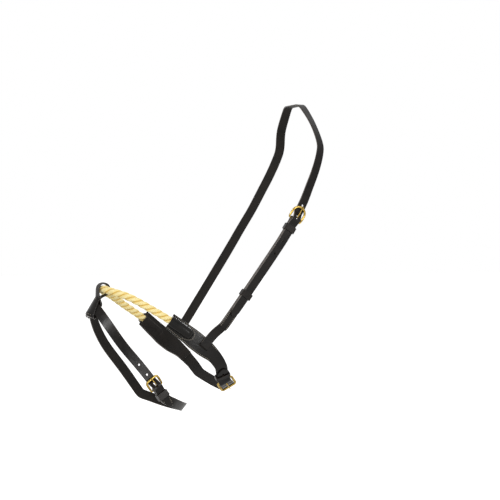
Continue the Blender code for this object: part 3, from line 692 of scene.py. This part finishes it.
# %% [markdown]
# A buckle is a bent and polished bar with a tongue curled round it. The solids are eight-sided wires, so two
# subdivisions make them round, and nothing needs a bevel. Subdividing pulls a wire in, so a frame is fattened first.
# A tongue isn't, because it has to clear the rim of its hole.

# %% Buckles
FRAME_FATTENED = 0.3
WIRE_LEVELS = 2
BUCKLES = (
    ("cheek_buckle_frame", "cheek_frame", FRAME_FATTENED),
    ("cheek_buckle_tongue", "cheek_tongue", 0.0),
    ("chin_buckle_frame", "chin_frame", FRAME_FATTENED),
    ("chin_buckle_tongue", "chin_tongue", 0.0),
    ("flash_buckle_frame", "flash_frame", FRAME_FATTENED),
    ("flash_buckle_tongue", "flash_tongue", 0.0),
)


def brass_wire(node, body, fattened):
    """A buckle's frame or tongue, from its node to its finished skin."""
    piece = working_copy(node, node + "_brass", (polished_brass,))
    bpy.ops.object.mode_set(mode="EDIT")
    bpy.ops.mesh.select_all(action="SELECT")
    bpy.ops.transform.shrink_fatten(value=fattened * MM)
    bpy.ops.object.mode_set(mode="OBJECT")
    subdivided(piece, WIRE_LEVELS)
    shaded_smooth(piece)
    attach(piece, body)
    report(piece)


for node, body, fattened in BUCKLES:
    brass_wire(node, body, fattened)

# %% [markdown]
# Stitching holds the linings, the folds and the sleeves. It runs in an even line a little inside each rim, about
# eight stitches to the inch, and every stitch stands up from the hide as a short bead of thread. One stitch is
# modelled and then copied. Each seam is a list of places in the air over a piece, and a ray dropped from each place
# finds the leather under it, so that the stitches sit on the skin whatever its shape.

# %% One stitch and its seams
STITCH_STEP = 3.1
STITCH_LONG = 2.3
STITCH_WIDE = 0.8
STITCH_HIGH = 0.55
STITCH_SUNK = 0.05
DROP_FROM = 14.0


def model_stitch():
    """One bead of thread, along X, with its flat side down."""
    bpy.ops.object.select_all(action="DESELECT")
    bpy.ops.mesh.primitive_uv_sphere_add(segments=8, ring_count=6, radius=0.5)
    bead = bpy.context.object
    bead.name = "stitch"
    bpy.ops.object.mode_set(mode="EDIT")
    bpy.ops.mesh.select_all(action="SELECT")
    bpy.ops.transform.rotate(value=math.pi / 2, orient_axis="Y", center_override=(0.0, 0.0, 0.0))
    bpy.ops.transform.resize(value=(STITCH_LONG * MM, STITCH_WIDE * MM, STITCH_HIGH * 2 * MM))
    bpy.ops.object.mode_set(mode="OBJECT")
    bpy.ops.object.shade_smooth()
    bead.data.materials.append(thread_with_painted_sheen)
    return bead


def drop(piece, place, outward):
    """Where a ray from over a place meets a piece, and the direction that the piece faces there."""
    hit, spot, facing, _ = piece.ray_cast(place + outward * DROP_FROM * MM, -outward, distance=2 * DROP_FROM * MM)
    return (spot, facing) if hit else None


def sew(name, body, seams):
    """Copies the stitch along seams, each a list of spots and the directions faced there, into one piece."""
    bead = model_stitch()
    copies = []
    for seam in seams:
        for (start, facing), (end, _) in zip(seam, seam[1:]):
            along = (end - start).normalized()
            upward = (facing - along * facing.dot(along)).normalized()
            turn = Matrix((along, upward.cross(along), upward)).transposed().to_4x4()
            copy = bpy.data.objects.new(name, bead.data.copy())
            copy.data.transform(Matrix.Translation((start + end) / 2 - upward * STITCH_SUNK * MM) @ turn)
            bpy.context.scene.collection.objects.link(copy)
            copies.append(copy)
    bpy.data.objects.remove(bead)
    pick(copies[0])
    for copy in copies:
        copy.select_set(True)
    bpy.ops.object.join()
    made = bpy.context.object
    made.name = name
    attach(made, body)
    print(name, len(copies), "stitches")


def spaced(start, end):
    """Even steps of about a stitch between two runs, in millimetres."""
    count = max(round(abs(end - start) / STITCH_STEP), 1)
    return [start + (end - start) * k / count for k in range(count + 1)]


# %% [markdown]
# The side leathers are sewn to their linings along both rims, and a second seam turns round the closed end of the
# sleeve. The rim is felt for: rays step sideways until one misses the leather.

# %% Seams of the side leathers
RIM_IN = 1.7
NARROWEST = 6.0
FEEL = 0.4
WIDEST = 20.0
SEAM_START = 2.0
SEAM_END = 84.0
DOME_RUN = 29.0
DOME_LONG = 14.6
DOME_WIDE = 10.4


def over_nose(run, across, side):
    """A place over a side leather, and which way is outwards there. The off side is the near side, mirrored."""
    place, _, sideways, outward = nose_line.frame(middle + mouth + run * MM)
    spot = place + sideways * across * MM
    if side < 0:
        spot.y = -spot.y
        outward = Vector((outward.x, -outward.y, outward.z))
    return spot, outward


def rim_at(piece, run, towards, side):
    """How far the leather reaches from its middle line, on one side of it."""
    reach = NARROWEST
    while reach < WIDEST and drop(piece, *over_nose(run, towards * (reach + FEEL), side)):
        reach += FEEL
    return reach


def side_seams(piece, side):
    """The seams along both rims of a side leather and round its dome."""
    seams = []
    for towards in (1, -1):
        runs = spaced(SEAM_START, SEAM_END)
        lines = [over_nose(run, towards * (rim_at(piece, run, towards, side) - RIM_IN), side) for run in runs]
        seams.append([drop(piece, *line) for line in lines])
    turns = spaced(0.0, math.pi * (DOME_LONG + DOME_WIDE) / 2)
    arc = []
    for step in range(len(turns)):
        angle = math.pi * step / (len(turns) - 1) - math.pi / 2
        run = DOME_RUN + DOME_LONG * math.cos(angle)
        arc.append(drop(piece, *over_nose(run, DOME_WIDE * math.sin(angle), side)))
    seams.append(arc)
    return [[spot for spot in seam if spot] for seam in seams]


sew("near_side_stitching", "noseband", side_seams(near_side, 1))
sew("off_side_stitching", "noseband", side_seams(off_side, -1))

# %% [markdown]
# The other seams lie on straight stretches: two rows up the lower cheekpiece and its twin on the off side, rows
# along the doubled flash strap behind its buckle, and the rows across the loop that close its eye round the rope
# and its lower end under the flash strap. A stretch is a foot, a direction and the way outwards, as a ruler is laid.

# %% Seams of the straps
CHEEK_RULER = ((-152.9, -74.0, -334.7), (0.5766, -0.0812, 0.8130), (0.0, -1.0, -0.08))
FLASH_RULER = ((-252.0, -47.3, -427.4), (0.602, -0.05, -0.797), (0.01, -1.0, 0.04))
LOOP_RULER = ((-318.2, 0.0, -282.7), (-0.572, 0.0, -0.82), (-0.82, 0.0, 0.572))
CHEEK_RUNS = (-6.0, 27.0)
CHEEK_ROWS = (5.3, -5.3)
FLASH_RUNS = (22.0, 40.0)
FLASH_ROWS = (5.4, -5.4)
LOOP_ROWS = ((18.8, 4.5), (43.6, 11.5))


def over_ruler(ruler, run, across, side=1):
    """A place over a ruler, and which way is outwards there. On the off side both are mirrored."""
    foot, along, outward = (Vector(part) for part in ruler)
    along = along.normalized()
    outward = (outward - along * outward.dot(along)).normalized()
    spot = (foot + along * run + outward.cross(along) * across) * MM
    if side < 0:
        spot.y, outward.y = -spot.y, -outward.y
    return spot, outward


def row(piece, ruler, runs, acrosses, side=1):
    """A seam from one run and distance across to another."""
    count = max(round(math.hypot(runs[1] - runs[0], acrosses[1] - acrosses[0]) / STITCH_STEP), 1)
    seam = []
    for k in range(count + 1):
        run = runs[0] + (runs[1] - runs[0]) * k / count
        across = acrosses[0] + (acrosses[1] - acrosses[0]) * k / count
        seam.append(drop(piece, *over_ruler(ruler, run, across, side)))
    return [spot for spot in seam if spot]


for side, piece, name in ((1, cheekpiece, "cheekpiece_stitching"), (-1, crown_strap, "crown_strap_stitching")):
    sew(name, "noseband", [row(piece, CHEEK_RULER, CHEEK_RUNS, (at, at), side) for at in CHEEK_ROWS])
sew("flash_strap_stitching", "flash", [row(flash_strap, FLASH_RULER, FLASH_RUNS, (at, at)) for at in FLASH_ROWS])
loop_seams = [row(flash_loop, LOOP_RULER, (at, at), (-half, half)) for at, half in LOOP_ROWS]
sew("flash_loop_stitching", "flash", loop_seams)

# %% [markdown]
# The studio is a wide white floor under a white world. For the camera alone the floor glows, more so far away, so
# that it runs into the white without a horizon, and near the noseband it keeps the shadow. Real light on the object
# stays as weak as it has to be for black leather.

# %% Floor and world
FLOOR_AT = -0.62
FLOOR_WIDE = 40.0
NEAR = 0.4
FAR = 2.2
GLOW_NEAR = 0.34
GLOW_FAR = 0.75
WORLD_LIGHT = 0.5


def camera_share(tree):
    """1 for what the camera sees, straight or in polished metal, and 0 for light on the object."""
    path = add(tree, "ShaderNodeLightPath")
    first = add(tree, "ShaderNodeMath", operation="MAXIMUM")
    tree.links.new(path.outputs["Is Camera Ray"], first.inputs[0])
    tree.links.new(path.outputs["Is Glossy Ray"], first.inputs[1])
    second = add(tree, "ShaderNodeMath", operation="MAXIMUM")
    tree.links.new(first.outputs["Value"], second.inputs[0])
    tree.links.new(path.outputs["Is Transmission Ray"], second.inputs[1])
    return second.outputs["Value"]


def studio_white(name):
    """A white floor paint that glows for the camera, and least near the middle."""
    made, tree, shader = finish_named(name)
    shader.inputs["Base Color"].default_value = paint("#ececea")
    shader.inputs["Roughness"].default_value = 0.9
    shader.inputs["Specular IOR Level"].default_value = 0.0
    shader.inputs["Emission Color"].default_value = (1.0, 1.0, 1.0, 1.0)
    place = add(tree, "ShaderNodeTexCoord").outputs["Object"]
    away = add(tree, "ShaderNodeVectorMath", {"Vector": place}, operation="LENGTH").outputs["Value"]
    rising = add(
        tree,
        "ShaderNodeMapRange",
        {"Value": away},
        From_Min=NEAR,
        From_Max=FAR,
        To_Min=GLOW_NEAR,
        To_Max=GLOW_FAR,
    )
    glow = add(tree, "ShaderNodeMath", operation="MULTIPLY")
    tree.links.new(camera_share(tree), glow.inputs[0])
    tree.links.new(rising.outputs["Result"], glow.inputs[1])
    tree.links.new(glow.outputs["Value"], shader.inputs["Emission Strength"])
    return made


bpy.ops.mesh.primitive_plane_add(size=FLOOR_WIDE, location=(0.0, 0.0, FLOOR_AT))
studio_floor = bpy.context.object
studio_floor.name = "studio_floor"
studio_floor.data.materials.append(studio_white("studio_white"))

world = bpy.data.worlds.new("studio")
bpy.context.scene.world = world
world.use_nodes = True
sky = world.node_tree
background = sky.nodes["Background"]
background.inputs["Color"].default_value = (1.0, 1.0, 1.0, 1.0)
strength = add(sky, "ShaderNodeMapRange", {"Value": camera_share(sky)}, To_Min=WORLD_LIGHT, To_Max=1.0)
sky.links.new(strength.outputs["Result"], background.inputs["Strength"])
print("floor", FLOOR_WIDE, "m wide, at", FLOOR_AT, "m")

# %% [markdown]
# Glazed leather shows little but what it mirrors, so small lamps draw it. The key lamp in front to the left makes
# the crisp lines along the rims, the side lamp lays a sheen along the straps, and two more stand above and behind.

# %% Lamps
LAMPS = (
    ("key_lamp", (-1.6, -1.9, 1.1), 0.45, 27.0),
    ("side_lamp", (0.5, -2.3, 0.25), 0.35, 12.0),
    ("top_lamp", (0.3, 0.2, 1.8), 0.7, 9.0),
    ("rim_lamp", (1.5, 1.6, 0.7), 0.6, 14.0),
)
for name, place, size, power in LAMPS:
    light = bpy.data.lights.new(name, "AREA")
    light.size = size
    light.energy = power
    lamp = bpy.data.objects.new(name, light)
    lamp.location = AIM + Vector(place)
    lamp.rotation_euler = Vector(place).to_track_quat("Z", "Y").to_euler()
    bpy.context.scene.collection.objects.link(lamp)
    print(name, power, "W")

bpy.context.scene.view_settings.view_transform = "Standard"
